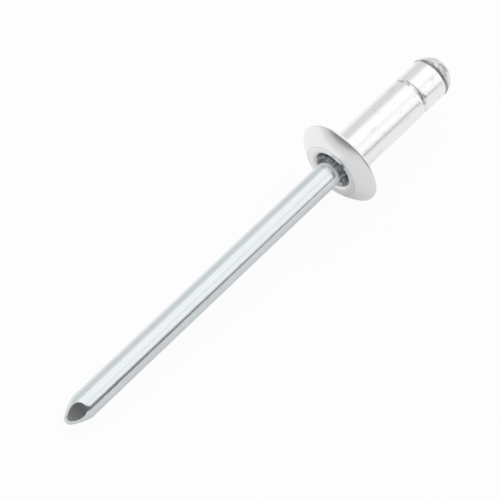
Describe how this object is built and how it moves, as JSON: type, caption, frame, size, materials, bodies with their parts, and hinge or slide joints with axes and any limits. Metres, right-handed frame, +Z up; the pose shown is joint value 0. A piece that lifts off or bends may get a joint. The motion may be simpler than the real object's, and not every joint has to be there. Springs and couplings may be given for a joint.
{
  "type": "pop rivet",
  "caption": "Unset open-end blind rivet: a hollow dome-head aluminium body threaded on a pinch-pointed, zinc-plated steel pull mandrel, for joining sheets from one side.",
  "frame": {"origin": "on the ground under the middle of the rivet as it lies on its flange rim and the mandrel's point", "axes": "+X runs along the rivet from the mandrel's point to its head, +Z is up; the rivet's own axis leans 5.23 degrees up from +X"},
  "size_m": [0.0592, 0.0102, 0.0102],
  "materials": {
    "aluminium": "bright satin",
    "zinc_steel": "bright zinc plate over drawn wire"
  },
  "bodies": {
    "root": {"rivet_body": "aluminium", "mandrel": "zinc_steel"}
  },
  "joints": []
}
